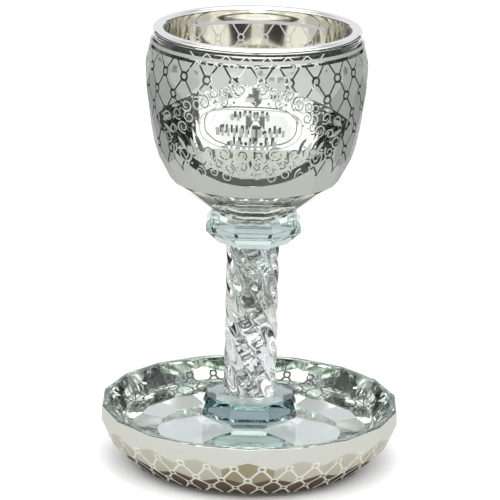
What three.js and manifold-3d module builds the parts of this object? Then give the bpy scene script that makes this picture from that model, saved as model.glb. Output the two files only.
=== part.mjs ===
// Kiddush cup on its saucer: a facet-cut glass bowl on an octagonal knop, a twisted fluted
// stem and an octagonal foot, standing in a thick facet-cut glass saucer.
// Millimetres, +Z up, origin under the middle of the saucer, front of the cup towards -Y.
import * as THREE from 'three';
import { mergeVertices } from 'three/addons/utils/BufferGeometryUtils.js';
import Module from 'manifold-3d';

const wasm = await Module();
wasm.setup();

// ---- driving dimensions ----
const GAP = 0.3;                      // clearance between pieces that touch
const FACETS = 18;                    // facets in each cut row, on bowl and saucer
const ROUND = 54;                     // segments in a smooth turned surface

// saucer: radius and height at the middle of the facets, where one row meets the next
const SAUCER_ROWS = [[51.7, 22.3], [52.0, 15.9], [48.6, 9.2], [41.3, 2.3], [32, 0]];
const SAUCER_FLOOR = 15;              // height of the flat the cup stands on
const DISH_RADIUS = 50;               // inside edge of the rim
const WALL_SLOPE = 1.3;               // rise of the straight wall inside, per millimetre

// foot and knop: octagonal crystals with a steep bevel, a thin band and a shallow bevel
const SIDES = 8;
const CRYSTAL = 16.5;                 // flat-to-centre distance at the band
const STEEP = 14.85;                  // flat-to-centre distance at the end of the steep bevel
const SHALLOW = 11.9;                 // flat-to-centre distance at the end of the shallow bevel
const FOOT_BASE = SAUCER_FLOOR + GAP;
const FOOT_BAND = [18.4, 20.5];
const FOOT_TOP = 25.1;
const KNOP_BASE = 81.2;
const KNOP_BAND = [86.0, 88.0];
const KNOP_TOP = 90.4;

// stem: eight round ribs with a slow left-handed twist
const RIBS = 8;
const STEM_RADIUS = 9.3;              // over the ribs
const GROOVE = 0.9;                   // depth of the grooves between the ribs
const TWIST_PITCH = 79;               // length of one whole turn
const STEPS_PER_RIB = 4;
const STEM_LAYERS = 24;

// bowl
const BOWL_BASE = KNOP_TOP + GAP;
const BOWL_ROWS = [[36.3, 159.6], [38.0, 141], [36.65, 128], [34.0, 114.2], [28.65, 103.7],
  [13.65, 91.9], [9.5, BOWL_BASE]];
const RIM_HEIGHT = 157.2;
const RIM_RADIUS = 36.1;
const BAND_BOTTOM = 149.2;            // the smooth band round the rim ends here
const BAND_RADIUS = 37.3;
const FLARE = 0.25;                   // outward slope of the smooth surface below the band
const LIP = 1.3;                      // rounding of the lip, outside and inside
const LIP_STEPS = 2;
const CAVITY_RADIUS = 33.9;           // widest inside radius
const CAVITY_WIDEST = 141;            // height of that widest place
const CAVITY_BOTTOM = 97.5;
const CAVITY_MOUTH = 32.2;            // inside radius at the rim
const CAVITY_STEPS = 12;

// ---- shaping functions ----

// A closed manifold solid from vertices and triangles.
function solidOf(vertices, triangles) {
  const vertProperties = new Float32Array(vertices.flatMap((v) => [v.x, v.y, v.z]));
  const triVerts = new Uint32Array(triangles.flat());
  return new wasm.Manifold(new wasm.Mesh({ numProp: 3, vertProperties, triVerts }));
}

// A closed manifold solid from a three.js geometry.
function solidFrom(geometry) {
  geometry.deleteAttribute('normal');
  geometry.deleteAttribute('uv');
  const merged = mergeVertices(geometry, 1e-4);
  const triVerts = new Uint32Array(merged.index.array);
  const vertProperties = new Float32Array(merged.attributes.position.array);
  return new wasm.Manifold(new wasm.Mesh({ numProp: 3, vertProperties, triVerts }));
}

// A three.js geometry, with flat shading, from a manifold solid.
function geometryOf(solid) {
  const mesh = solid.getMesh();
  const geometry = new THREE.BufferGeometry();
  geometry.setAttribute('position', new THREE.BufferAttribute(mesh.vertProperties, 3));
  geometry.setIndex(new THREE.BufferAttribute(mesh.triVerts, 1));
  return geometry;
}

// A turned geometry about +Z from [radius, height] pairs. The profile runs from the lowest
// point to the highest, so that the faces point outwards.
function turned(profile, segments, start = 0) {
  const points = profile.map(([radius, height]) => new THREE.Vector2(radius, height));
  const geometry = new THREE.LatheGeometry(points, segments, start);
  geometry.rotateX(Math.PI / 2);
  return geometry;
}

// The point shared by three planes given as { normal, reach }, where normal . point = reach.
function meet([a, b, c]) {
  const bc = new THREE.Vector3().crossVectors(b.normal, c.normal);
  const ca = new THREE.Vector3().crossVectors(c.normal, a.normal);
  const ab = new THREE.Vector3().crossVectors(a.normal, b.normal);
  return bc.clone().multiplyScalar(a.reach)
    .addScaledVector(ca, b.reach)
    .addScaledVector(ab, c.reach)
    .divideScalar(a.normal.dot(bc));
}

// A solid cut all over in staggered rows of flat facets, and flat above and below. corners
// are [radius, height] pairs down the middle of the facets, from the top to the bottom.
// firstShift turns the top row by that part of a facet, and each row below by half a facet.
function facetCut(corners, firstShift) {
  const rowCount = corners.length - 1;
  const top = { normal: new THREE.Vector3(0, 0, 1), reach: corners[0][1] };
  const bottom = { normal: new THREE.Vector3(0, 0, -1), reach: -corners[rowCount][1] };

  // the plane of the facet whose middle lies half-steps round from the front
  const facetPlane = (row, halfSteps) => {
    const [r0, z0] = corners[row];
    const [r1, z1] = corners[row + 1];
    const slope = Math.hypot(r0 - r1, z0 - z1);
    const turn = halfSteps * Math.PI / FACETS - Math.PI / 2;
    const outward = (z0 - z1) / slope;
    const upward = (r1 - r0) / slope;
    const normal = new THREE.Vector3(
      outward * Math.cos(turn), outward * Math.sin(turn), upward);
    return { normal, reach: outward * r0 + upward * z0 };
  };
  const centred = (row, halfSteps) => (halfSteps + row + firstShift * 2) % 2 === 0;
  const planesAt = (row, halfSteps) => (centred(row, halfSteps)
    ? [facetPlane(row, halfSteps)]
    : [facetPlane(row, halfSteps - 1), facetPlane(row, halfSteps + 1)]);

  // one ring of vertices above each row and one below the last
  const vertices = [];
  const rings = [];
  for (let ring = 0; ring <= rowCount; ring++) {
    rings.push(new Map());
    for (let half = 0; half < FACETS * 2; half++) {
      const upper = ring === 0 ? [top] : planesAt(ring - 1, half);
      const lower = ring === rowCount ? [bottom] : planesAt(ring, half);
      if (upper.length + lower.length === 3) {
        rings[ring].set(half, vertices.length);
        vertices.push(meet([...upper, ...lower]));
      }
    }
  }

  const triangles = [];
  const fan = (loop) => {
    for (let k = 1; k + 1 < loop.length; k++) triangles.push([loop[0], loop[k], loop[k + 1]]);
  };
  for (let row = 0; row < rowCount; row++) {
    for (let half = 0; half < FACETS * 2; half++) {
      if (!centred(row, half)) continue;
      const round = [-1, 0, 1].map((step) => (half + step + FACETS * 2) % (FACETS * 2));
      const above = round.map((place) => rings[row].get(place));
      const below = round.map((place) => rings[row + 1].get(place));
      fan([...below, ...above.reverse()].filter((vertex) => vertex !== undefined));
    }
  }
  fan([...rings[0].values()]);
  fan([...rings[rowCount].values()].reverse());
  return solidOf(vertices, triangles);
}

// An octagonal crystal turned with a flat side to the front, from [flat, height] pairs.
function crystal(profile) {
  const corner = 1 / Math.cos(Math.PI / SIDES);
  const rings = profile.map(([flat, height]) => [flat * corner, height]);
  const closed = [[0, profile[0][1]], ...rings, [0, profile.at(-1)[1]]];
  return geometryOf(solidFrom(turned(closed, SIDES, Math.PI / SIDES)));
}

// ---- the pieces ----

function makeSaucer() {
  const outside = facetCut(SAUCER_ROWS, 0.5);
  const rimHeight = SAUCER_ROWS[0][1];
  const floorRadius = DISH_RADIUS - (rimHeight - SAUCER_FLOOR) / WALL_SLOPE;
  const profile = [[0, SAUCER_FLOOR], [floorRadius, SAUCER_FLOOR], [DISH_RADIUS, rimHeight],
    [DISH_RADIUS, rimHeight + 1], [0, rimHeight + 1]];
  return geometryOf(outside.subtract(solidFrom(turned(profile, ROUND))));
}

function makeFoot() {
  return crystal([[SHALLOW, FOOT_BASE], [CRYSTAL, FOOT_BAND[0]], [CRYSTAL, FOOT_BAND[1]],
    [STEEP, FOOT_TOP]]);
}

function makeKnop() {
  return crystal([[SHALLOW, KNOP_BASE], [CRYSTAL, KNOP_BAND[0]], [CRYSTAL, KNOP_BAND[1]],
    [STEEP, KNOP_TOP]]);
}

// The stem's section is a ring of round ribs, turned a little further on each layer.
function makeStem() {
  const low = FOOT_TOP + GAP;
  const high = KNOP_BASE - GAP;
  const around = RIBS * STEPS_PER_RIB;
  const vertices = [];
  const triangles = [];
  for (let layer = 0; layer <= STEM_LAYERS; layer++) {
    const height = low + (high - low) * layer / STEM_LAYERS;
    const twist = -2 * Math.PI * height / TWIST_PITCH;
    for (let step = 0; step < around; step++) {
      const angle = 2 * Math.PI * step / around;
      const radius = STEM_RADIUS - GROOVE * (1 - Math.abs(Math.cos(angle * RIBS / 2)));
      vertices.push(new THREE.Vector3(
        radius * Math.cos(angle + twist), radius * Math.sin(angle + twist), height));
    }
  }
  for (let layer = 0; layer < STEM_LAYERS; layer++) {
    for (let step = 0; step < around; step++) {
      const here = layer * around + step;
      const next = layer * around + (step + 1) % around;
      triangles.push([here, next, next + around], [here, next + around, here + around]);
    }
  }
  const bottomCentre = vertices.push(new THREE.Vector3(0, 0, low)) - 1;
  const topCentre = vertices.push(new THREE.Vector3(0, 0, high)) - 1;
  for (let step = 0; step < around; step++) {
    const next = (step + 1) % around;
    const top = STEM_LAYERS * around;
    triangles.push([bottomCentre, next, step], [topCentre, top + step, top + next]);
  }
  return geometryOf(solidOf(vertices, triangles));
}

// The inside radius of the bowl at a height: a soft superellipse below the widest place, and
// a slow inward curve above it.
function cavityRadius(height) {
  if (height > CAVITY_WIDEST) {
    const part = (height - CAVITY_WIDEST) / (RIM_HEIGHT - CAVITY_WIDEST);
    return CAVITY_RADIUS - (CAVITY_RADIUS - CAVITY_MOUTH) * part ** 2;
  }
  const part = (CAVITY_WIDEST - height) / (CAVITY_WIDEST - CAVITY_BOTTOM);
  return CAVITY_RADIUS * (1 - part ** 3) ** 0.435;
}

// Points of a quarter-round lip between the wall and the top of the rim.
function lip(radius, side) {
  const points = [];
  for (let step = 0; step <= LIP_STEPS; step++) {
    const angle = Math.PI / 2 * step / LIP_STEPS;
    points.push([
      radius + side * LIP * (1 - Math.cos(angle)),
      RIM_HEIGHT - LIP + LIP * Math.sin(angle)]);
  }
  return points;
}

function makeBowl() {
  const cut = facetCut(BOWL_ROWS, 0);
  const low = BOWL_BASE - 1;
  const smooth = solidFrom(turned([
    [0, low], [BAND_RADIUS + FLARE * (BAND_BOTTOM - low), low], [BAND_RADIUS, BAND_BOTTOM],
    ...lip(RIM_RADIUS, -1), [0, RIM_HEIGHT]], ROUND));
  const cavity = [[0, CAVITY_BOTTOM]];
  for (let step = 1; step <= CAVITY_STEPS; step++) {
    const part = Math.sin(Math.PI / 2 * step / CAVITY_STEPS);
    const height = RIM_HEIGHT - LIP - (RIM_HEIGHT - LIP - CAVITY_BOTTOM) * (1 - part ** 3);
    cavity.push([cavityRadius(height), height]);
  }
  const mouth = lip(CAVITY_MOUTH, 1).slice(1);
  cavity.push(...mouth, [mouth.at(-1)[0], RIM_HEIGHT + 1], [0, RIM_HEIGHT + 1]);
  return geometryOf(cut.intersect(smooth).subtract(solidFrom(turned(cavity, ROUND))));
}

// ---- the finished cup ----

const silveredGlass = new THREE.MeshStandardMaterial(
  { color: 0xc4c8c6, metalness: 0.8, roughness: 0.25 });
const greenCrystal = new THREE.MeshStandardMaterial(
  { color: 0xc9d8d2, metalness: 0, roughness: 0.03, transparent: true, opacity: 0.6 });
const clearCrystal = new THREE.MeshStandardMaterial(
  { color: 0xe4e8e4, metalness: 0, roughness: 0.03, transparent: true, opacity: 0.5 });
const mirrorGlass = new THREE.MeshStandardMaterial(
  { color: 0xb9bdbb, metalness: 0.9, roughness: 0.1 });

const cup = new THREE.Group();
function addPiece(name, geometry, material) {
  const mesh = new THREE.Mesh(geometry, material);
  mesh.name = name;
  cup.add(mesh);
}
addPiece('saucer', makeSaucer(), mirrorGlass);
addPiece('foot', makeFoot(), greenCrystal);
addPiece('stem', makeStem(), clearCrystal);
addPiece('knop', makeKnop(), greenCrystal);
addPiece('bowl', makeBowl(), silveredGlass);

export default cup;
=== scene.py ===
"""Kiddush cup on its saucer: silvered, facet-cut glass with a satin lattice."""

import bpy
import numpy as np
from mathutils import Matrix, Vector
from mathutils.geometry import delaunay_2d_cdt


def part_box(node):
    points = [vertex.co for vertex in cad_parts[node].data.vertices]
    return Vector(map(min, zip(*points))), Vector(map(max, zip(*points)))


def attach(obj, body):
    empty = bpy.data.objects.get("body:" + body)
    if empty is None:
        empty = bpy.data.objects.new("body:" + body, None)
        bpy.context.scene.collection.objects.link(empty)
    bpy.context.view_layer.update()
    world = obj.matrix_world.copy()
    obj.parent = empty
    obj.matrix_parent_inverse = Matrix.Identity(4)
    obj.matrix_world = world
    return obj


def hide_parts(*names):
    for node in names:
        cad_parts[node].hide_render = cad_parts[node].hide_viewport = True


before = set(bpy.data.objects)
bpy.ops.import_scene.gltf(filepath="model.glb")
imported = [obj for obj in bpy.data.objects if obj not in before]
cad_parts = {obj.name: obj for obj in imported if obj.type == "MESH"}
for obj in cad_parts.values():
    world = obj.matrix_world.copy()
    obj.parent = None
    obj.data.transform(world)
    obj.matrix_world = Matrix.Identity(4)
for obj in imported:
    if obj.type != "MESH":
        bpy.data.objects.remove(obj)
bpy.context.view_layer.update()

# ---------------------------------------------------------------------------------------
# Saucer: one thick piece of soda glass, pressed and then cut outside in four staggered rows
# of flat facets. Smooth inside, and silvered on the outside like a mirror's back.
# ---------------------------------------------------------------------------------------
MM = 0.001
FRONT = -np.pi / 2                    # the front of the cup faces -Y
FACETS = 18
COAT = 0.08                           # a coating's thickness, millimetres
BEDDED = 0.05                         # how much of that lies over the glass
COLUMNS = 288                         # steps around a turned surface

saucer_high = np.array(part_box("saucer")[1]) / MM
RIM = saucer_high[2]
FLOOR = 15.0                          # height of the flat that the cup stands on
FLAT_RADIUS = 31.0                    # well inside the flat
WALL_SLOPE = 1.3                      # rise of the wall round it, per millimetre
ROUNDING = 0.3                        # of the corner between wall and flat
DISH_RADIUS = 50.0                    # inside edge of the rim
DISH_STEPS = 60
# radius and height down the middle of the facets, where one row meets the next
saucer_rows = np.array([[51.7, RIM], [52.0, 15.9], [48.6, 9.2], [41.3, 2.3], [32.0, 0.0]])


def linear(hex_colour):
    """An sRGB colour such as "c0ffee" as linear red, green, blue and alpha."""
    srgb = np.array([int(hex_colour[at:at + 2], 16) for at in (0, 2, 4)]) / 255
    rgb = np.where(srgb > 0.04045, ((srgb + 0.055) / 1.055) ** 2.4, srgb / 12.92)
    return (*rgb.tolist(), 1.0)


def add_node(tree, kind, inputs, **settings):
    """Adds a shader node. A socket given as an input's value is linked to that input."""
    node = tree.nodes.new("ShaderNode" + kind)
    for name, value in settings.items():
        setattr(node, name, value)
    for name, value in inputs.items():
        if isinstance(value, bpy.types.NodeSocket):
            tree.links.new(value, node.inputs[name])
        else:
            node.inputs[name].default_value = value
    return node


def new_material(name, inputs):
    """A material with one Principled shader, and its node tree and shader."""
    material = bpy.data.materials.new(name)
    material.use_nodes = True
    shader = material.node_tree.nodes["Principled BSDF"]
    for socket, value in inputs.items():
        shader.inputs[socket].default_value = value
    return material, material.node_tree, shader


def add_piece(name, vertices, faces, materials, flat=None):
    """Puts millimetre vertices and faces into an object that rides on the cup. flat marks
    the faces with flat shading; the others are smooth."""
    mesh = bpy.data.meshes.new(name)
    mesh.from_pydata((np.asarray(vertices) * MM).tolist(), [], faces)
    flat = np.zeros(len(faces), bool) if flat is None else flat
    mesh.polygons.foreach_set("use_smooth", ~flat)
    mesh.update()
    piece = bpy.data.objects.new(name, mesh)
    for material in materials:
        mesh.materials.append(material)
    bpy.context.scene.collection.objects.link(piece)
    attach(piece, "root")
    return piece


def turned_surface(radius, height, turn, flat_rows=(), loop=False):
    """Vertices and faces of a surface about +Z. Vertex [k, m] stands at radius[k, m] from
    the axis, at turn[m] round it, at height[k, m]. A first or last row of radius 0 is one
    vertex. With loop, the last row joins the first. flat_rows are rows of flat faces."""
    rows, columns = len(radius), len(turn)
    radius = np.broadcast_to(radius, (rows, columns))
    height = np.broadcast_to(height, (rows, columns))
    number = np.arange(rows * columns).reshape(rows, columns)
    for row in (0, rows - 1):
        if radius[row].max() == 0:
            number[row] = number[row, 0]
    points = np.stack([radius * np.cos(turn), radius * np.sin(turn), height], -1)
    lower = number if loop else number[:-1]
    upper = np.roll(number, -1, 0) if loop else number[1:]
    quads = np.stack([lower, np.roll(lower, -1, 1), np.roll(upper, -1, 1), upper], -1)
    flat = np.zeros(len(lower), bool)
    flat[list(flat_rows)] = True
    flat = np.repeat(flat, columns)
    faces = [list(dict.fromkeys(face)) for face in quads.reshape(-1, 4).tolist()]
    used, renumbered = np.unique(number, return_inverse=True)
    lookup = np.zeros(rows * columns, int)
    lookup[number.ravel()] = renumbered.ravel()
    faces = [lookup[face].tolist() for face in faces]
    return points.reshape(-1, 3)[used], faces, flat


def row_planes(corners, shift, turn, offset):
    """For each row of facets, given by its top and bottom [radius, height] at the facets'
    middles: o cos(angle off the facet's middle), u and reach, so that a point of the row at
    this turn has radius (reach - u height) / (o cos). offset moves every facet outwards."""
    drop = corners[:-1] - corners[1:]
    slope = np.hypot(drop[:, 0], drop[:, 1])
    outward, upward = drop[:, 1] / slope, -drop[:, 0] / slope
    reach = outward * corners[:-1, 0] + upward * corners[:-1, 1] + offset
    pitch = 2 * np.pi / FACETS
    middle = FRONT + pitch * (shift + np.arange(len(outward)) / 2)
    off_middle = (turn - middle.reshape(-1, *[1] * np.ndim(turn)) + pitch / 2) % pitch - pitch / 2
    shape = (-1, *[1] * np.ndim(turn))
    return (outward.reshape(shape) * np.cos(off_middle), upward.reshape(shape),
            reach.reshape(shape))


def facet_rings(corners, shift, turn, offset):
    """Radius and height of the lines above, between and below the rows of facets. Between
    two rows the line zigzags, because both rows have the same radius there."""
    wide, upward, reach = row_planes(corners, shift, turn, offset)
    above, below = slice(None, -1), slice(1, None)
    between = ((reach[below] * wide[above] - reach[above] * wide[below])
               / (upward[below] * wide[above] - upward[above] * wide[below]))
    top = np.full((1, len(turn)), corners[0, 1])
    bottom = np.full((1, len(turn)), corners[-1, 1] - offset)
    height = np.concatenate([top, between, bottom])
    row = np.minimum(np.arange(len(height)), len(height) - 2)
    return (reach[row] - upward[row] * height) / wide[row], height


def facet_radius(corners, shift, turn, height, offset):
    """Radius of the cut surface at a turn and a height: the smallest of all rows' radii."""
    wide, upward, reach = row_planes(corners, shift, turn, offset)
    return ((reach - upward * height) / wide).min(0)


turn = FRONT + 2 * np.pi * np.arange(COLUMNS) / COLUMNS
SAUCER_SHIFT = 0.5                    # part of a facet that the top row is turned by
EDGE = 0.35                           # bevel ground round the rim
SOFT = 0.025                          # softened corner under that bevel


def dish_profile(steps):
    """The dish inside, from the rim to the middle of the floor: a steep straight wall that
    rounds into the flat floor, as the smooth maximum of the two lines."""
    radius = np.linspace(DISH_RADIUS, FLAT_RADIUS, steps)
    wall = RIM - WALL_SLOPE * (DISH_RADIUS - radius)
    height = (wall + FLOOR + np.hypot(wall - FLOOR, ROUNDING)) / 2
    height -= (height[0] - RIM) * (radius - FLAT_RADIUS) / (DISH_RADIUS - FLAT_RADIUS)
    return np.append(radius, 0), np.append(height, FLOOR)


def saucer_rings(offset):
    """The lines of the cut outside, from the foot of the rim's bevel down: two lines close
    together for the soft corner, then the lines between the rows."""
    ring_radius, ring_height = facet_rings(saucer_rows, SAUCER_SHIFT, turn, offset)
    wide, upward, reach = (part[0] for part in
                           row_planes(saucer_rows, SAUCER_SHIFT, turn, offset))
    corner = np.full(COLUMNS, RIM - EDGE - SOFT)
    corner_radius = (reach - upward * corner) / wide
    return (np.stack([ring_radius[0], corner_radius, *ring_radius[1:]]),
            np.stack([corner + SOFT, corner, *ring_height[1:]]))


ring_radius, ring_height = saucer_rings(-BEDDED)
ground_rim = ring_radius[:1] - EDGE
dish_radius, dish_height = dish_profile(DISH_STEPS)
radius = np.concatenate([
    np.zeros((1, COLUMNS)), ring_radius[::-1], ground_rim,
    np.full((1, COLUMNS), DISH_RADIUS + EDGE / 2),
    np.broadcast_to(dish_radius[1:, None], (DISH_STEPS, COLUMNS))])
height = np.concatenate([
    np.full((1, COLUMNS), BEDDED), ring_height[::-1], np.full((2, COLUMNS), RIM),
    np.broadcast_to(dish_height[1:, None], (DISH_STEPS, COLUMNS))])
vertices, faces, flat = turned_surface(radius, height, turn, flat_rows=range(5))


def new_glass(name, surface, ior, tint=None, density=0.0):
    """Polished clear glass. A tint with a density per metre colours it where it is thick."""
    glass, tree, _ = new_material(name, {
        "Base Color": linear(surface), "Roughness": 0.0, "IOR": ior,
        "Transmission Weight": 1.0})
    if tint:
        absorb = add_node(tree, "VolumeAbsorption", {"Color": linear(tint), "Density": density})
        tree.links.new(absorb.outputs["Volume"], tree.nodes["Material Output"].inputs["Volume"])
    return glass


# Soda glass, pressed, cut and polished: clear, with a green cast where it is thick.
glass_green = new_glass("green_soda_glass", "fafdfc", 1.52, "c8dcd6", 5.0)
saucer_glass = add_piece("saucer_glass", vertices, faces, [glass_green], flat)
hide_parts("saucer")

# Wet silvering under the saucer: a bright mirror from both sides.
silvering, _, _ = new_material("mirror_silvering", {
    "Base Color": linear("f0f2ee"), "Metallic": 1.0, "Roughness": 0.035})


def coated(low, high):
    """A thin closed skin over the cut outside, between the offsets low and high, that ends
    just under the rim and passes under the flat bottom."""
    out_radius, out_height = saucer_rings(high)
    in_radius, in_height = saucer_rings(low)
    centre = np.zeros((1, COLUMNS))
    radius = np.concatenate([centre, out_radius[::-1], in_radius, centre])
    height = np.concatenate([
        out_height[-1:], out_height[::-1], in_height, in_height[-1:]])
    return turned_surface(radius, height, turn, flat_rows=range(len(radius) - 1))


vertices, faces, flat = coated(-COAT, 0.0)
add_piece("saucer_silvering", vertices, faces, [silvering], flat)

# ---------------------------------------------------------------------------------------
# Lattice on the saucer: crossing lines with a ring at each crossing, etched through the
# silver. It reads pale and satin from outside. Through the glass it shows as a dark grey
# copy of itself, which is painted shade.
# ---------------------------------------------------------------------------------------


def circle(centre, radius, points=16):
    """A round outline."""
    turns = 2 * np.pi * np.arange(points) / points
    return np.array(centre) + radius * np.stack([np.cos(turns), np.sin(turns)], -1)


def ribbon(line, width):
    """The outline of a strip of this width along a line of points, with square ends."""
    step = np.gradient(line, axis=0)
    side = np.stack([-step[:, 1], step[:, 0]], -1) / np.linalg.norm(step, axis=1)[:, None]
    half = side * np.broadcast_to(width, len(line))[:, None] / 2
    return np.concatenate([line - half, (line + half)[::-1]])


def overlay(outlines, creases, keep):
    """Lays flat outlines over each other and cuts them into triangles along all their edges
    and along the creases. Keeps the triangles for which keep(kinds) is true, where kinds are
    the kinds of the outlines that the triangle lies in. outlines are (kind, points)."""
    points, edges, faces = [], [], []
    for _, outline in outlines:
        faces.append(list(range(len(points), len(points) + len(outline))))
        points.extend(outline.tolist())
    for crease in creases:
        edges.extend((len(points) + k, len(points) + k + 1) for k in range(len(crease) - 1))
        points.extend(crease.tolist())
    vertices, _, triangles, _, _, sources = delaunay_2d_cdt(
        [Vector(point) for point in points], edges, faces, 0, 1e-4, True)
    kinds = [kind for kind, _ in outlines]
    kept = [triangle for triangle, source in zip(triangles, sources)
            if keep({kinds[number] for number in source})]
    used, renumbered = np.unique(np.array(kept), return_inverse=True)
    flat_points = np.array([vertices[number][:] for number in used])
    return flat_points, renumbered.reshape(-1, 3)


def sheet_band(radius, low, high, begin=-np.pi, end=np.pi):
    """A rectangle on a sheet unrolled at this radius, between two levels and two turns."""
    return np.array([[begin * radius, low], [end * radius, low],
                     [end * radius, high], [begin * radius, high]])


def level_line(radius, level):
    """A crease right round a sheet unrolled at this radius, at a level or along a zigzag."""
    return np.stack([fine * radius, 0 * fine + level], -1)[::CREASE_STEP]


def lattice(columns, first_turn, radius, levels, line, ring, dot, top, bottom):
    """Outlines, on a sheet unrolled at this radius, of lines that cross at the levels, with
    a ring and its dot at every crossing. Every second level is half a column round."""
    pitch = 2 * np.pi / columns * radius
    level_step = levels[1] - levels[0]
    outlines = []
    reach = max(abs(top - levels[0]), abs(bottom - levels[0])) / abs(level_step) + 2
    beyond = columns // 2 + int(reach) + 1
    for column in range(-beyond, beyond + 1):
        for lean in (-1, 1):
            start = first_turn * radius + column * pitch
            ends = np.array([
                [start + lean * pitch / 2 * (levels[0] - top) / level_step, top],
                [start + lean * pitch / 2 * (levels[0] - bottom) / level_step, bottom]])
            if ends[:, 0].max() < -np.pi * radius or ends[:, 0].min() > np.pi * radius:
                continue
            outlines.append(("line", ribbon(ends, line)))
    for number, level in enumerate(levels):
        for column in range(columns):
            turned = first_turn + (column + number % 2 / 2) * 2 * np.pi / columns
            turned = (turned + np.pi) % (2 * np.pi) - np.pi
            centre = (turned * radius, level)
            outlines.append(("ring", circle(centre, ring)))
            outlines.append(("dot", circle(centre, dot, 12)))
    return outlines


SAUCER_LATTICE = 34                   # rings round the saucer
SAUCER_FIRST = np.radians(5.3)        # the first ring's turn from the front
UNROLLED = 45.0                       # mean radius of the cut rows
CREASE_STEP = 4
path = np.append(0, np.cumsum(np.linalg.norm(np.diff(saucer_rows[1:], axis=0), axis=1)))
levels = 1.35 + 5.77 * np.arange(4)   # down the facets, from the foot of the top row
outlines = lattice(SAUCER_LATTICE, SAUCER_FIRST, UNROLLED, levels, line=0.7, ring=1.4,
                   dot=0.75, top=0.0, bottom=path[-2])
fine = np.linspace(-np.pi, np.pi, COLUMNS + 1)
_, edge_height = facet_rings(saucer_rows, SAUCER_SHIFT, fine + FRONT, 0.0)


def down_the_row(height):
    """Distance down the facets' middles, from the top of the lattice, of a height."""
    return np.interp(-height, -saucer_rows[1:, 1], path)


creases = [level_line(UNROLLED, down_the_row(line)) for line in edge_height[1:4]]
half_pitch = np.pi / FACETS
for row in range(1, 4):
    for half_step in range(-FACETS, FACETS):
        if (half_step + row + 2 * SAUCER_SHIFT) % 2 == 1:
            at = (half_step + FACETS) * COLUMNS // (2 * FACETS)
            creases.append(np.array([
                [half_step * half_pitch * UNROLLED, down_the_row(edge_height[row, at])],
                [half_step * half_pitch * UNROLLED, down_the_row(edge_height[row + 1, at])]]))
outlines.append(("sheet", sheet_band(UNROLLED, 0.0, path[-2] - 0.3)))


def etched(kinds):
    """Lines and rings, but not the dots in the rings, on the sheet."""
    return "sheet" in kinds and "dot" not in kinds and bool(kinds & {"line", "ring"})


flat_points, triangles = overlay(outlines, creases, etched)
around = flat_points[:, 0] / UNROLLED + FRONT
drop = np.interp(flat_points[:, 1], path, -saucer_rows[1:, 1])


def wrapped(corners, shift, around, height, offset):
    """Points of a sheet laid on the cut surface."""
    radius = facet_radius(corners, shift, around, height, offset)
    return np.stack([radius * np.cos(around), radius * np.sin(around), height], -1)


def add_film(name, points, triangles, material, thickness):
    """A film piece: a sheet of flat triangles, closed up by a Solidify modifier that grows
    it inwards. The seam at the back is merged."""
    film = add_piece(name, points, triangles.tolist(), [material],
                     np.ones(len(triangles), bool))
    weld = film.modifiers.new("seam", "WELD")
    weld.merge_threshold = 1e-7
    solid = film.modifiers.new("thickness", "SOLIDIFY")
    solid.thickness = thickness * MM
    solid.offset = -1


def grain(tree, shader, size, smooth, rough, relief):
    """A fine matt grain of this size in millimetres: noise that moves the roughness between
    smooth and rough, and lifts the surface by up to relief millimetres."""
    place = add_node(tree, "TexCoord", {})
    noise = add_node(tree, "TexNoise", {
        "Vector": place.outputs["Object"], "Scale": 1 / (size * MM), "Detail": 3.0})
    spread = add_node(tree, "MapRange", {
        "Value": noise.outputs["Fac"], "From Min": 0.3, "From Max": 0.7,
        "To Min": smooth, "To Max": rough})
    bump = add_node(tree, "Bump", {
        "Height": noise.outputs["Fac"], "Strength": 1.0, "Distance": relief * MM})
    tree.links.new(spread.outputs["Result"], shader.inputs["Roughness"])
    tree.links.new(bump.outputs["Normal"], shader.inputs["Normal"])


etch_outside, tree, shader = new_material("etched_silver_outside", {
    "Base Color": linear("c9cac2"), "Metallic": 0.2, "Roughness": 0.5})
grain(tree, shader, 0.5, 0.42, 0.58, 0.01)
# Painted shade: the lattice's glass side is a second copy of it, dark grey and matt.
etch_inside_painted_shade, _, _ = new_material("etched_lines_painted_shade", {
    "Base Color": linear("6e7673"), "Metallic": 0.0, "Roughness": 0.6})
triangles = triangles[:, ::-1]
ETCH = 0.05                           # thickness of the etched film, on each side
add_film("saucer_lattice_outside", wrapped(saucer_rows, SAUCER_SHIFT, around, -drop, 0.03),
         triangles, etch_outside, ETCH)
add_film("saucer_lattice_inside", wrapped(saucer_rows, SAUCER_SHIFT, around, -drop, -0.06),
         triangles, etch_inside_painted_shade, ETCH)

# ---------------------------------------------------------------------------------------
# Foot: a solid octagon of crystal with bevelled cheeks, ground and polished, that stands
# loose on the saucer's floor.
# ---------------------------------------------------------------------------------------
foot_low, foot_high = (corner / MM for corner in map(np.array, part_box("foot")))
APOTHEM = foot_high[0]                # axis to a flat side of the band
SHALLOW, STEEP = 11.9, 14.85          # the same at the bottom and at the top
FOOT_BAND = (18.4, 20.5)              # heights of the thin band between the bevels
ARRIS = 0.22                          # polished off each arris
octagon = FRONT + np.pi / 8 + np.pi / 4 * np.arange(8)


def octagon_block(levels, aparts):
    """A bevelled octagon: at each level its flat sides stand this far from the axis."""
    corners = np.array([0, *aparts, 0]) / np.cos(np.pi / 8)
    heights = np.array([levels[0], *levels, levels[-1]])
    vertices, faces, _ = turned_surface(corners[:, None], heights[:, None], octagon)
    return vertices, faces, np.ones(len(faces), bool)


def polish(piece, width):
    """Softens every arris the way polishing does, by this many millimetres."""
    bevel = piece.modifiers.new("polished_arrises", "BEVEL")
    bevel.width = width * MM
    bevel.segments = 2
    bevel.limit_method = "ANGLE"
    bevel.angle_limit = np.radians(20)


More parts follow.
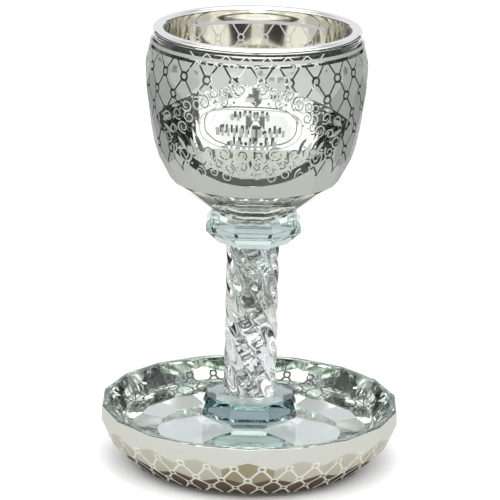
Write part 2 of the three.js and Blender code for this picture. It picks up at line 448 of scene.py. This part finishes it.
# Lead-free crystal, ground and polished, of a deep blue-green.
crystal_teal = new_glass("teal_crystal", "f4fafa", 1.54, "86aaaa", 42.0)
vertices, faces, flat = octagon_block(
    [foot_low[2], *FOOT_BAND, foot_high[2]], [SHALLOW, APOTHEM, APOTHEM, STEEP])
foot = add_piece("foot_crystal", vertices, faces, [crystal_teal], flat)
polish(foot, ARRIS)
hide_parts("foot")

# ---------------------------------------------------------------------------------------
# Stem: a blown tube of clear glass, drawn with eight ribs and twisted, its bore packed with
# small crystal stones that lie as they fell.
# ---------------------------------------------------------------------------------------
stem_low, stem_high = (corner / MM for corner in map(np.array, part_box("stem")))
STEM_RADIUS = 9.3                     # over the ribs
GROOVE = 0.9                          # depth between two ribs
TWIST_PITCH = 79.0                    # length of one whole turn
BORE = 5.6
RIB_COLUMNS = 128
STEM_RINGS = 121


def ribbed_radius(turn, height):
    """Cusped flutes: the radius is full on a rib and falls by GROOVE between two, and the
    ribs go round once, left-handed, in a TWIST_PITCH of height."""
    along = turn - FRONT + 2 * np.pi * height / TWIST_PITCH
    return STEM_RADIUS - GROOVE * (1 - np.abs(np.cos(4 * along)))


rib_turn = 2 * np.pi * np.arange(RIB_COLUMNS) / RIB_COLUMNS
tube_height = np.linspace(stem_low[2], stem_high[2], STEM_RINGS)[:, None]
outside = ribbed_radius(rib_turn, tube_height)
radius = np.concatenate([outside, np.full((2, RIB_COLUMNS), BORE)])
height = np.concatenate([tube_height, tube_height[[-1, 0]]])
vertices, faces, flat = turned_surface(radius, height, rib_turn, loop=True)
crystal_clear = new_glass("clear_crystal", "fbfdfc", 1.5)
stem = add_piece("stem_tube", vertices, faces, [crystal_clear], flat)
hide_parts("stem")

# The stones: brilliants with an octagonal girdle, a table, and a pointed pavilion backed
# with silver foil. They lie in layers of three, each tipped at random.
STONE = 2.3                           # girdle radius
CLEARANCE = 0.25                      # from the girdle to the bore
END_GAP = 1.9                         # from the tube's end to a layer's middle
LAYERS = 15
PER_LAYER = 3
LAYER_TURN = 0.8                      # radians from one layer to the next
random = np.random.default_rng(7)
girdle = 2 * np.pi * np.arange(8) / 8
brilliant, cut, _ = turned_surface(
    STONE * np.array([0, 0.55, 1.0, 1.0, 0])[:, None],
    STONE * np.array([0.42, 0.42, 0.08, -0.04, -0.85])[:, None], girdle)
cut = [face[::-1] for face in cut]
far = BORE - STONE - CLEARANCE
lowest, highest = stem_low[2] + END_GAP, stem_high[2] - END_GAP
stones, stone_faces = [], []
for layer in range(LAYERS):
    for seat in range(PER_LAYER):
        turned = layer * LAYER_TURN + seat * 2 * np.pi / PER_LAYER + random.uniform(-0.3, 0.3)
        lift = lowest + (highest - lowest) * layer / (LAYERS - 1) + random.uniform(-0.6, 0.6)
        tilt = Matrix.Rotation(random.uniform(0, np.pi), 3, "X")
        tilt = Matrix.Rotation(random.uniform(0, 2 * np.pi), 3, "Z") @ tilt
        middle = np.array([far * np.cos(turned), far * np.sin(turned), lift])
        stone_faces.extend((np.array(face) + len(stones)).tolist() for face in cut)
        stones.extend((brilliant @ np.array(tilt).T + middle).tolist())
crystal_cut = new_glass("cut_crystal", "ffffff", 1.6)
foil, _, _ = new_material("stone_foil", {
    "Base Color": linear("c9cbc9"), "Metallic": 1.0, "Roughness": 0.06})
crystal_stones = add_piece("crystal_stones", stones, stone_faces, [crystal_cut, foil],
                           np.ones(len(stone_faces), bool))
foiled = np.tile(np.repeat([0, 0, 0, 1], 8), LAYERS * PER_LAYER)
crystal_stones.data.polygons.foreach_set("material_index", foiled)

# ---------------------------------------------------------------------------------------
# Knop: an octagon of crystal like the foot, of paler glass, glued between stem and bowl.
# ---------------------------------------------------------------------------------------
knop_low, knop_high = (corner / MM for corner in map(np.array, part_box("knop")))
KNOP_BAND = (86.0, 88.0)
crystal_green = new_glass("green_crystal", "f8fcfb", 1.52, "a6c8c0", 15.0)
vertices, faces, flat = octagon_block(
    [knop_low[2], *KNOP_BAND, knop_high[2]], [SHALLOW, APOTHEM, APOTHEM, STEEP])
knop = add_piece("knop_crystal", vertices, faces, [crystal_green], flat)
polish(knop, ARRIS)
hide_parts("knop")

# ---------------------------------------------------------------------------------------
# Bowl: thick blown glass. Outside it is cut in staggered rows of flat facets below a smooth
# band at the mouth. Inside it is smooth, with a rounded lip.
# ---------------------------------------------------------------------------------------
bowl_low, bowl_high = (corner / MM for corner in map(np.array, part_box("bowl")))
BOWL_TOP = bowl_high[2]
BAND_BOTTOM = 149.2                   # the smooth band at the mouth ends here
BAND_RADIUS = 37.3
FLARE = 0.25                          # slope of the uncut glass below the band
RIM_RADIUS = 36.1
LIP = 1.3                             # rounding of the lip, outside and inside
MOUTH = 32.2                          # radius of the mouth below the lip
CAVITY = (33.9, 141.0)                # widest radius inside, and its height
CAVITY_BOTTOM = 97.5
CAVITY_STEPS = 40
bowl_rows = np.array([
    [36.3, 159.6], [38.0, 141.0], [36.65, 128.0], [34.0, 114.2], [28.65, 103.7],
    [13.65, 91.9], [9.5, bowl_low[2]]])
BOWL_SHIFT = 0.0


def cut_rings(offset):
    """The cut outside of the bowl from its base up to the mouth's smooth band, then the
    band up to the lip. The top facets run out in the band in shallow scallops."""
    ring_radius, ring_height = facet_rings(bowl_rows, BOWL_SHIFT, turn, offset)
    wide, upward, reach = (part[0] for part in row_planes(bowl_rows, BOWL_SHIFT, turn, offset))
    rest = (BAND_RADIUS + offset + FLARE * BAND_BOTTOM - reach / wide) / (FLARE - upward / wide)
    rest = np.minimum(rest, BAND_BOTTOM)
    scallop = np.where(rest < BAND_BOTTOM, BAND_RADIUS + offset + FLARE * (BAND_BOTTOM - rest),
                       BAND_RADIUS + offset)
    band_height = np.array([BAND_BOTTOM + 0.1, 152.5, BOWL_TOP - LIP])
    band_radius = np.interp(band_height, [BAND_BOTTOM, BOWL_TOP - LIP],
                            [BAND_RADIUS, RIM_RADIUS]) + offset
    radius = np.concatenate([ring_radius[:0:-1], scallop[None],
                             np.broadcast_to(band_radius[:, None], (3, COLUMNS))])
    height = np.concatenate([ring_height[:0:-1], rest[None],
                             np.broadcast_to(band_height[:, None], (3, COLUMNS))])
    return radius, height


def upper_wall(height):
    """Radius of the cavity above its widest place: a parabola that closes upwards."""
    return CAVITY[0] - (CAVITY[0] - MOUTH) * ((height - CAVITY[1]) / (BOWL_TOP - CAVITY[1])) ** 2


def mouth_profile(steps):
    """From the outside of the lip, over two quarter rounds, down the cavity to its bottom:
    first the upper wall's parabola, then a superellipse."""
    quarter = np.linspace(0, np.pi / 2, 7)[1:]
    over_radius = RIM_RADIUS - LIP + LIP * np.cos(quarter)
    over_height = BOWL_TOP - LIP + LIP * np.sin(quarter)
    in_radius = MOUTH + LIP * np.cos(quarter + np.pi / 2) + LIP
    in_height = BOWL_TOP - LIP + LIP * np.sin(quarter + np.pi / 2)
    wall_height = np.linspace(BOWL_TOP - LIP, CAVITY[1], 8)[1:]
    wall_radius = upper_wall(wall_height)
    part = np.sin(np.linspace(0, np.pi / 2, steps))[1:]
    cup_height = CAVITY[1] - (CAVITY[1] - CAVITY_BOTTOM) * part
    cup_radius = CAVITY[0] * np.maximum(1 - part ** 3, 0) ** 0.435
    radius = np.concatenate([over_radius, [MOUTH + LIP], in_radius, wall_radius, cup_radius])
    height = np.concatenate([over_height, [BOWL_TOP], in_height, wall_height, cup_height])
    return radius, height


outer_radius, outer_height = cut_rings(0.0)
mouth_radius, mouth_height = mouth_profile(CAVITY_STEPS)
inner_radius = np.broadcast_to(mouth_radius[:, None], (len(mouth_radius), COLUMNS))
inner_height = np.broadcast_to(mouth_height[:, None], (len(mouth_height), COLUMNS))
radius = np.concatenate([np.zeros((1, COLUMNS)), outer_radius, inner_radius])
height = np.concatenate([outer_height[:1], outer_height, inner_height])
vertices, faces, flat = turned_surface(radius, height, turn, flat_rows=range(7))
bowl_glass = add_piece("bowl_glass", vertices, faces, [glass_green], flat)
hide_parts("bowl")


def skin(profile_radius, profile_height, low, high):
    """A closed thin skin along a profile that ends on the axis, from the offset low to the
    offset high away from the glass."""
    step_radius, step_height = np.gradient(profile_radius), np.gradient(profile_height)
    length = np.hypot(step_radius, step_height)
    away_radius, away_height = step_height / length, -step_radius / length
    away_radius[-1], away_height[-1] = 0, 1
    sides = []
    for offset in (low, high):
        sides.append((profile_radius + away_radius * offset,
                      profile_height + away_height * offset))
    radius = np.concatenate([sides[0][0][::-1], sides[1][0]])
    height = np.concatenate([sides[0][1][::-1], sides[1][1]])
    radius[[0, -1]] = 0
    return turned_surface(radius[:, None], height[:, None], turn)


# Silvering laid wet on the inside of the bowl and just over its lip: a bright, smooth,
# slightly warm mirror. It is a closed skin, bedded a little way in the glass.
lining_radius = np.concatenate([[RIM_RADIUS + 0.06, RIM_RADIUS], mouth_radius])
lining_height = np.concatenate([[BOWL_TOP - LIP - 0.5, BOWL_TOP - LIP], mouth_height])
vertices, faces, flat = skin(lining_radius, lining_height, -0.04, BEDDED)
lining, _, _ = new_material("silver_lining", {
    "Base Color": linear("f1f0eb"), "Metallic": 1.0, "Roughness": 0.05})
add_piece("bowl_silver_lining", vertices, faces, [lining], flat)

# ---------------------------------------------------------------------------------------
# Satin lustre: a fired, silver-grey matt layer over the bowl's outside. Everything drawn in
# it is left bare, so that the mirror behind the glass shows through: a line under the mouth,
# a lattice with rings, and a pointed panel of scrollwork round a tablet.
# ---------------------------------------------------------------------------------------
SATIN_RADIUS = 37.5                   # the sheet is laid out flat at this radius
SATIN_TOP = 153.3
SATIN_BOTTOM = 104.0
DARK_LINE = (150.9, 152.1)            # bottom and top of the bare line under the mouth
MIRRORED_TOP = 155.0                  # the lattice mirrored in the lip ends here
BOWL_LATTICE = 25                     # rings round the bowl
FIRST_RING = np.radians(2.8)          # the first ring's turn from the front
RING_LEVELS = 145.9 - 6.75 * np.arange(5)
LATTICE_BOTTOM = 111.5
PANEL = (-3.0, 128.0)                 # the panel's middle: degrees round, and height
PANEL_SIZE = (42.5, 18.8, 18.2)       # from there to a cusp, to the top and to the bottom
CUSP_DROP = 1.2                       # the panel's middle is this much under its cusps
TABLET_SIZE = (18.5, 7.6)             # half its width and half its height
TABLET_RISE = 1.6                     # above the panel's middle
LUSTRE = 0.08                         # thickness of the fired layer


def sheet_point(across, up):
    """A point of the flat sheet from millimetres across and up from the panel's middle."""
    centre = np.radians(PANEL[0]) * SATIN_RADIUS
    return np.stack([centre + np.asarray(across), PANEL[1] + np.asarray(up)], -1)


def scroll(across, up, size, start, turns, width):
    """A ribbon on a spiral that closes from size to a third of it, about a centre, from the
    angle start, through some turns, and thins to its end. Mirrored with across."""
    part = np.linspace(0, 1, int(18 * abs(turns)) + 4)
    away = size * (1 - 0.68 * part)
    angle = np.radians(start) + 2 * np.pi * turns * part
    line = np.stack([across + away * np.cos(angle), up + away * np.sin(angle)], -1)
    return ribbon(line, width * (1 - 0.45 * part))


def leaf(across, up, length, lean, width):
    """A pointed leaf from its foot: two half sine curves along a line at an angle."""
    part = np.linspace(0, 1, 9)
    along = np.stack([part * length, -width / 2 * np.sin(np.pi * part ** 0.8)], -1)
    back = along[::-1][1:-1] * [1, -1]
    blade = np.concatenate([along, back])
    cos, sin = np.cos(np.radians(lean)), np.sin(np.radians(lean))
    return np.array([across, up]) + blade @ np.array([[cos, sin], [-sin, cos]])


def panel_edge(points, grow):
    """The panel's pointed oval, from cusp to cusp over the top and back underneath. Each
    half is (1 - |t|^p) high, and grow moves it outwards."""
    part = np.linspace(-1, 1, points)
    half, top, bottom = np.array(PANEL_SIZE) + grow
    over = top * (1 - np.abs(part) ** 1.55)
    under = -bottom * (1 - np.abs(part) ** 2.3)
    across = np.concatenate([half * part, half * part[-2:0:-1]])
    up = np.concatenate([under, over[-2:0:-1]]) - CUSP_DROP * (1 - np.abs(across / half))
    return np.stack([across, up], -1)


def tablet_edge(grow, points=40):
    """The tablet's outline, a superellipse."""
    angle = 2 * np.pi * np.arange(points) / points
    round_way = np.stack([np.cos(angle), np.sin(angle)], -1)
    size = np.array(TABLET_SIZE) + grow
    return size * np.sign(round_way) * np.abs(round_way) ** 0.75 + [0, TABLET_RISE]


# Scrolls, leaves and beads of the right half of the panel; the left half mirrors them.
SCROLLS = [
    (4.4, 14.6, 2.5, 150, -1.4, 0.6), (9.4, 13.4, 2.4, 20, 1.4, 0.6),
    (14.6, 12.4, 2.6, 200, -1.4, 0.6), (18.6, 9.2, 2.6, 60, 1.4, 0.6),
    (23.0, 8.2, 2.2, 330, -1.2, 0.55), (22.2, 4.2, 2.3, 100, -1.3, 0.6),
    (27.6, 4.6, 2.2, 230, 1.3, 0.6), (25.4, 0.2, 2.4, 250, 1.4, 0.6),
    (10.7, 10.2, 1.8, 330, -1.2, 0.5), (26.0, -9.6, 3.4, 120, 1.5, 0.75),
    (10.3, -9.4, 3.2, 60, 1.5, 0.7), (3.6, -9.8, 2.2, 250, -1.3, 0.6),
    (34.2, -4.8, 2.6, 30, -1.4, 0.7), (33.2, 2.4, 2.2, 300, 1.3, 0.65),
    (18.2, -9.8, 2.6, 200, -1.3, 0.65), (19.6, -15.2, 2.4, 90, 1.2, 0.6),
    (13.8, -14.4, 2.2, 20, 1.3, 0.6), (8.4, -15.8, 2.3, 180, -1.4, 0.6),
    (3.2, -15.0, 1.9, 30, 1.2, 0.55), (30.4, -1.6, 1.9, 180, -1.2, 0.6),
    (31.6, -8.2, 2.0, 150, 1.2, 0.6)]
LEAVES = [
    (36.4, 0.4, 6.0, 150, 1.6), (36.4, -0.9, 6.0, 200, 1.6), (30.6, 6.4, 5.0, 160, 1.3),
    (22.6, -3.2, 6.0, 245, 1.5), (21.2, -4.6, 6.0, 262, 1.5), (28.4, -3.8, 5.5, 230, 1.4),
    (15.0, -7.6, 5.0, 280, 1.3), (6.6, -8.4, 5.0, 290, 1.3), (7.0, 12.0, 4.0, 20, 1.1),
    (1.6, 13.0, 4.0, 200, 1.1), (26.6, -13.0, 4.5, 210, 1.3), (39.4, -1.0, 3.2, 90, 1.0),
    (39.4, -1.4, 3.2, 270, 1.0), (1.0, 16.6, 4.0, 120, 1.2), (0.0, -11.6, 4.0, 270, 1.2)]
BEADS = [
    (6.9, 15.6), (12.0, 14.8), (16.6, 14.0), (20.6, 11.6), (25.0, 9.0), (26.0, 6.6),
    (29.8, 2.8), (20.6, 1.6), (14.0, 9.6), (31.4, -4.6), (29.6, -6.8), (22.2, -8.6),
    (14.6, -11.0), (6.8, -12.6), (23.0, -12.6), (30.0, -11.4), (36.8, -2.8), (6.6, 10.2),
    (0.0, -13.0), (36.6, 2.6), (22.6, -6.6), (16.4, -12.4), (11.2, -13.0)]

BEAD = 0.45                           # radius of a bead
PANEL_LINE = (0.9, 0.5)               # line inside the panel's edge: how far in, how wide
ornament = []
for mirror in (1, -1):
    for across, up, size, start, turns, width in SCROLLS:
        shape = scroll(across, up, size, start, turns, width)
        ornament.append(shape[::mirror] * [mirror, 1])
    for across, up, length, lean, width in LEAVES:
        shape = leaf(across, up, length, lean, width)
        ornament.append(shape[::mirror] * [mirror, 1])
    for across, up in BEADS:
        ornament.append(circle((across * mirror, up), BEAD, 8))
edge = panel_edge(41, -PANEL_LINE[0])
ornament.append(ribbon(np.concatenate([edge, edge[:2]]), PANEL_LINE[1]))

# Rows of short strokes across the tablet: upright bars and square dots in no order.
STROKE_ROWS = [(5.0, 7, 14.0), (-0.8, 12, 25.0), (-5.2, 9, 19.0)]  # foot, number, length
STROKES = ((3.0, 0.9), (3.0, 1.4), (1.2, 1.3), (2.3, 1.1))         # height and width
strokes = []
for level, count, length in STROKE_ROWS:
    for number in range(count):
        across = length * ((number + 0.5) / count - 0.5) - 0.5
        tall, wide = STROKES[random.integers(4)]
        low = level + (0 if tall > 2 else 1.7 * random.integers(2))
        strokes.append(np.array([[across, low], [across + wide, low],
                                 [across + wide, low + tall], [across, low + tall]]))

outlines = [("sheet", sheet_band(SATIN_RADIUS, SATIN_BOTTOM, SATIN_TOP)),
            ("window", sheet_band(SATIN_RADIUS, *DARK_LINE))]
outlines += lattice(BOWL_LATTICE, FIRST_RING, SATIN_RADIUS, RING_LEVELS, line=0.62,
                    ring=1.75, dot=0.95, top=DARK_LINE[0] + 0.3, bottom=LATTICE_BOTTOM)
panel = panel_edge(61, 0.0)
outlines.append(("panel", sheet_point(panel[:, 0], panel[:, 1])))
tablet = tablet_edge(0.0)
outlines.append(("tablet", sheet_point(tablet[:, 0], tablet[:, 1])))
tablet_rim = tablet_edge(-0.5)
outlines.append(("tablet_inside", sheet_point(tablet_rim[:, 0], tablet_rim[:, 1])))
outlines += [("ornament", sheet_point(shape[:, 0], shape[:, 1])) for shape in ornament]
outlines += [("stroke", sheet_point(shape[:, 0], shape[:, 1])) for shape in strokes]


def satin(kinds):
    """Where the satin layer stays."""
    if "sheet" not in kinds or "window" in kinds:
        return False
    if "tablet" in kinds:
        return "tablet_inside" not in kinds
    if "panel" in kinds:
        return "ornament" in kinds
    return "dot" in kinds or not kinds & {"line", "ring"}


# The sheet is creased along the facets' edges, and upright where it may lie on the band.
UPRIGHT = BAND_BOTTOM - 3
_, edge_height = facet_rings(bowl_rows, BOWL_SHIFT, fine + FRONT, 0.0)
creases = [level_line(SATIN_RADIUS, line) for line in edge_height[1:5]]
for row in range(5):
    for half_step in range(-FACETS, FACETS + 1):
        if (half_step + row + 2 * BOWL_SHIFT) % 2 == 1:
            at = min((half_step + FACETS) * COLUMNS // (2 * FACETS), COLUMNS)
            top = edge_height[row, at] if row else UPRIGHT
            creases.append(np.array([
                [half_step * half_pitch * SATIN_RADIUS, top],
                [half_step * half_pitch * SATIN_RADIUS, edge_height[row + 1, at]]]))
for level in (BAND_BOTTOM, BAND_BOTTOM - 1, MIRRORED_TOP - 0.3):
    creases.append(level_line(SATIN_RADIUS, level))
for at in fine[:-1:CREASE_STEP] * SATIN_RADIUS:
    creases.append(np.array([[at, UPRIGHT], [at, SATIN_TOP]]))
flat_points, triangles = overlay(outlines, creases, satin)
around = flat_points[:, 0] / SATIN_RADIUS + FRONT
ABOVE = 0.05                          # how far the lustre's face stands off the glass


def satin_points(offset):
    """The sheet's points laid on the bowl: on its facets, or on the band where that is
    nearer the axis."""
    height = flat_points[:, 1]
    cut = facet_radius(bowl_rows, BOWL_SHIFT, around, height, offset)
    band = np.where(height < BAND_BOTTOM, BAND_RADIUS + FLARE * (BAND_BOTTOM - height),
                    np.interp(height, [BAND_BOTTOM, BOWL_TOP - LIP], [BAND_RADIUS, RIM_RADIUS]))
    radius = np.minimum(cut, band + offset)
    return np.stack([radius * np.cos(around), radius * np.sin(around), height], -1)


lustre, tree, shader = new_material("satin_silver_lustre", {
    "Base Color": linear("bcc0bb"), "Metallic": 0.6, "Roughness": 0.42})
grain(tree, shader, 0.7, 0.36, 0.48, 0.012)
add_film("bowl_satin_lustre", satin_points(ABOVE), triangles, lustre, LUSTRE)

# The strokes on the tablet are the same lustre, thinner and greyer.
tablet_lustre, _, _ = new_material("thin_silver_lustre", {
    "Base Color": linear("9a9d99"), "Metallic": 0.3, "Roughness": 0.5})
outlines = [pair for pair in outlines if pair[0] in ("tablet_inside", "stroke")]
flat_points, triangles = overlay(outlines, creases, lambda kinds: "stroke" in kinds)
around = flat_points[:, 0] / SATIN_RADIUS + FRONT
add_film("tablet_strokes", satin_points(ABOVE), triangles, tablet_lustre,
         LUSTRE)

# A painted reflection: the lattice as it shows once more in the mirror under the mouth,
# smaller, drawn as pale lines: a zigzag over the upper line and half rings on the lower one,
# round the front.
MIRRORED = 7                          # rings that show
MIRRORED_PITCH = np.radians(10.9) * SATIN_RADIUS
LEG = np.array([[0.22 * MIRRORED_PITCH, SATIN_TOP - 0.2],
                [0.49 * MIRRORED_PITCH, MIRRORED_TOP - 0.4]])
PALE = 0.06                           # thickness of the pale lines
outlines = [("sheet", sheet_band(SATIN_RADIUS, DARK_LINE[0], MIRRORED_TOP)),
            ("matte", sheet_band(SATIN_RADIUS, DARK_LINE[1], SATIN_TOP))]
for number in range(MIRRORED):
    across = (number - (MIRRORED - 1) / 2) * MIRRORED_PITCH
    outlines.append(("ring", circle((across, DARK_LINE[0] - 0.1), 0.95)))
    outlines.append(("dot", circle((across, DARK_LINE[0] - 0.1), 0.5, 12)))
    for side in (-1, 1):
        outlines.append(("line", ribbon(LEG * [side, 1] + [across, 0], 0.34)))


def mirrored(kinds):
    """Where the painted reflection of the lattice shows: off the satin layer, and not in a ring's
    middle.
    """
    return "sheet" in kinds and not kinds & {"matte", "dot"} and bool(kinds & {"line", "ring"})


flat_points, triangles = overlay(outlines, creases, mirrored)
around = flat_points[:, 0] / SATIN_RADIUS + FRONT
# Pale lines: on the band under the mouth a painted reflection, inside the mouth lines in the
# silvering.
pale_lines_and_painted_reflection, _, _ = new_material("pale_lines_pattern_and_painted_reflection", {
    "Base Color": linear("cfcfd2"), "Metallic": 0.2, "Roughness": 0.45})
add_film("painted_reflection_lattice", satin_points(ABOVE), triangles, pale_lines_and_painted_reflection, PALE)

# Inside the mouth the same lattice shows as pale lines in the silvering, with a line above,
# as far round the back as one can look in.
LOOK_IN = 0.78                        # radians, to each side of the back
MOUTH_BOTTOM = RING_LEVELS[1] + 1
MOUTH_BENDS = (142, 145, 148, 150)    # levels where the sheet bends with the wall
BEYOND = (138, 153)                   # the upright creases reach past the sheet
outlines = lattice(BOWL_LATTICE, FIRST_RING, SATIN_RADIUS, RING_LEVELS[:2], line=0.55,
                   ring=1.45, dot=0.9, top=DARK_LINE[0], bottom=MOUTH_BOTTOM)
outlines.append(("line", sheet_band(SATIN_RADIUS, *DARK_LINE)))
for begin, end in ((-np.pi, LOOK_IN - np.pi), (np.pi - LOOK_IN, np.pi)):
    outlines.append(("sheet", sheet_band(SATIN_RADIUS, MOUTH_BOTTOM, DARK_LINE[1], begin, end)))
creases = [np.array([[at, BEYOND[0]], [at, BEYOND[1]]])
           for at in fine[::CREASE_STEP] * SATIN_RADIUS]
creases += [level_line(SATIN_RADIUS, level) for level in MOUTH_BENDS]
flat_points, triangles = overlay(outlines, creases, etched)
around = flat_points[:, 0] / SATIN_RADIUS + FRONT
height = flat_points[:, 1]
radius = upper_wall(np.maximum(height, CAVITY[1])) - BEDDED - 0.04
mouth_points = np.stack([radius * np.cos(around), radius * np.sin(around), height], -1)
add_film("mouth_lattice", mouth_points, triangles[:, ::-1], pale_lines_and_painted_reflection, PALE)

# ---------------------------------------------------------------------------------------
# Studio: a white floor, a pale sky and two large soft boxes, with painted shadows and darker
# tones on the floor and round about that only reflections and glass show. The camera looks
# down from in front.
# ---------------------------------------------------------------------------------------


def stage_shape(name, points, faces, colour):
    """A matt shape for the studio, from points in metres."""
    mesh = bpy.data.meshes.new(name)
    mesh.from_pydata(points, [], faces)
    material, _, _ = new_material(name, {
        "Base Color": linear(colour), "Roughness": 1.0, "Specular IOR Level": 0.0})
    mesh.materials.append(material)
    shape = bpy.data.objects.new(name, mesh)
    bpy.context.scene.collection.objects.link(shape)
    return shape


def reflected_strip(name, edges, begin, end, colour, steps=24):
    """A strip round the cup between two edges, given as (distance, height), from begin to
    end degrees off the front. Only reflections and what is seen through glass have it."""
    turns = FRONT + np.radians(np.linspace(begin, end, steps + 1))
    ways = np.stack([np.cos(turns), np.sin(turns)], -1)
    points = np.concatenate([np.column_stack([ways * away, np.full(steps + 1, height)])
                             for away, height in edges])
    faces = [(k, k + steps + 1, k + steps + 2, k + 1) for k in range(steps)]
    strip = stage_shape(name, points.tolist(), faces, colour)
    strip.visible_camera = False
    strip.visible_diffuse = False
    strip.visible_shadow = False


def floor_patch(name, near, far, begin, end, colour, level=0.4):
    """A strip that lies just over the floor, at a level in millimetres."""
    reflected_strip(name, ((near, level * MM), (far, level * MM)), begin, end, colour)


stage_shape("floor", [(-2, -2, 0), (2, -2, 0), (2, 2, 0), (-2, 2, 0)], [(0, 1, 2, 3)], "fafafa")
floor_patch("dark_table_right", 0.20, 1.6, 70, 152, "1c201f")
floor_patch("dark_table_left", 0.20, 1.6, -152, -70, "1c201f")
floor_patch("pale_table", 0.26, 0.70, -40, 40, "dededc")
# Painted shadow of the cup cast forward on the floor, seen only in reflections: grey further out
# and dark nearer the cup.
floor_patch("painted_cup_shadow_far", 0.26, 0.70, -5.5, 4.0, "5a5a58", 0.6)
floor_patch("painted_cup_shadow_near", 0.13, 0.26, -2.6, 1.2, "1a1a19", 0.7)
# Painted shadow of the saucer on the floor, seen only in reflections: dark brown under its
# overhang, paler round it, and tan in front.
floor_patch("deep_shadow", 0.034, 0.050, -180, 180, "6b5c50")
floor_patch("near_shadow", 0.050, 0.060, -180, 180, "b4b0a4")
floor_patch("tan_shadow", 0.0495, 0.060, -10, 10, "948a74", 0.5)
floor_patch("near_table", 0.060, 0.20, -180, 180, "bdbdb7")
reflected_strip("dark_room", ((3.0, 0.10), (3.0, 0.85)), -150, 150, "3c403e", 40)

world = bpy.data.worlds.new("studio")
bpy.context.scene.world = world
world.use_nodes = True
tree = world.node_tree
background = tree.nodes["Background"]
place = add_node(tree, "TexCoord", {})
split = add_node(tree, "SeparateXYZ", {"Vector": place.outputs["Generated"]})


def sky(stops):
    """A ramp of greys up the sky, given as (height of the direction, colour)."""
    node = add_node(tree, "ValToRGB", {"Fac": split.outputs["Z"]})
    steps = node.color_ramp.elements
    steps[0].position, steps[0].color = stops[0][0], linear(stops[0][1])
    steps[1].position, steps[1].color = stops[-1][0], linear(stops[-1][1])
    for position, colour in stops[1:-1]:
        steps.new(position).color = linear(colour)
    return node.outputs["Color"]


behind = sky([(0.1, "c6c7cc"), (0.5, "c6c7cc"), (0.8, "9c9c9c"), (1.0, "848484")])
ahead = sky([(0.0, "e8eae8"), (0.2, "f8f8f6"), (0.3, "ffffff"), (0.75, "f4f4f4"),
             (0.9, "9c9c9c"), (1.0, "848484")])
side = add_node(tree, "MapRange", {"Value": split.outputs["Y"], "From Min": 0.15,
                                   "From Max": -0.3, "To Min": 0.0, "To Max": 1.0})
mixed = add_node(tree, "Mix", {}, data_type="RGBA")
# the mixer's colours are its inputs 6 and 7 and its output 2
tree.links.new(side.outputs["Result"], mixed.inputs["Factor"])
tree.links.new(behind, mixed.inputs[6])
tree.links.new(ahead, mixed.inputs[7])
tree.links.new(mixed.outputs[2], background.inputs["Color"])
background.inputs["Strength"].default_value = 1.5


def soft_box(name, centre, size, energy):
    """A large soft light that faces the cup."""
    light = bpy.data.lights.new(name, "AREA")
    light.shape = "RECTANGLE"
    light.size, light.size_y = size
    light.energy = energy
    lamp = bpy.data.objects.new(name, light)
    way = (Vector(centre) - Vector((0, 0, 0.08))).to_track_quat("Z", "Y")
    lamp.matrix_world = Matrix.Translation(centre) @ way.to_matrix().to_4x4()
    bpy.context.scene.collection.objects.link(lamp)


soft_box("over_camera", (0.0, -1.0, 1.1), (1.2, 0.7), 9.0)
soft_box("overhead", (0.0, 0.2, 1.4), (1.2, 1.2), 9.0)

LENS = 242.0
AIM = Vector((-0.001, 0.0, 0.0774))
EYE = Vector((0.0, -1.127, 0.4052))
ROLL = 1.25
lens = bpy.data.cameras.new("camera")
lens.lens = LENS
lens.sensor_width = 36
camera = bpy.data.objects.new("camera", lens)
look = (AIM - EYE).to_track_quat("-Z", "Y").to_matrix().to_4x4()
camera.matrix_world = Matrix.Translation(EYE) @ look @ Matrix.Rotation(np.radians(ROLL), 4, "Z")
bpy.context.scene.collection.objects.link(camera)
bpy.context.scene.camera = camera

scene = bpy.context.scene
scene.view_settings.view_transform = "Standard"
scene.cycles.max_bounces = 16
scene.cycles.transmission_bounces = 14
scene.cycles.glossy_bounces = 10
scene.cycles.transparent_max_bounces = 12
scene.cycles.caustics_refractive = True
scene.cycles.caustics_reflective = True
scene.cycles.sample_clamp_indirect = 8.0
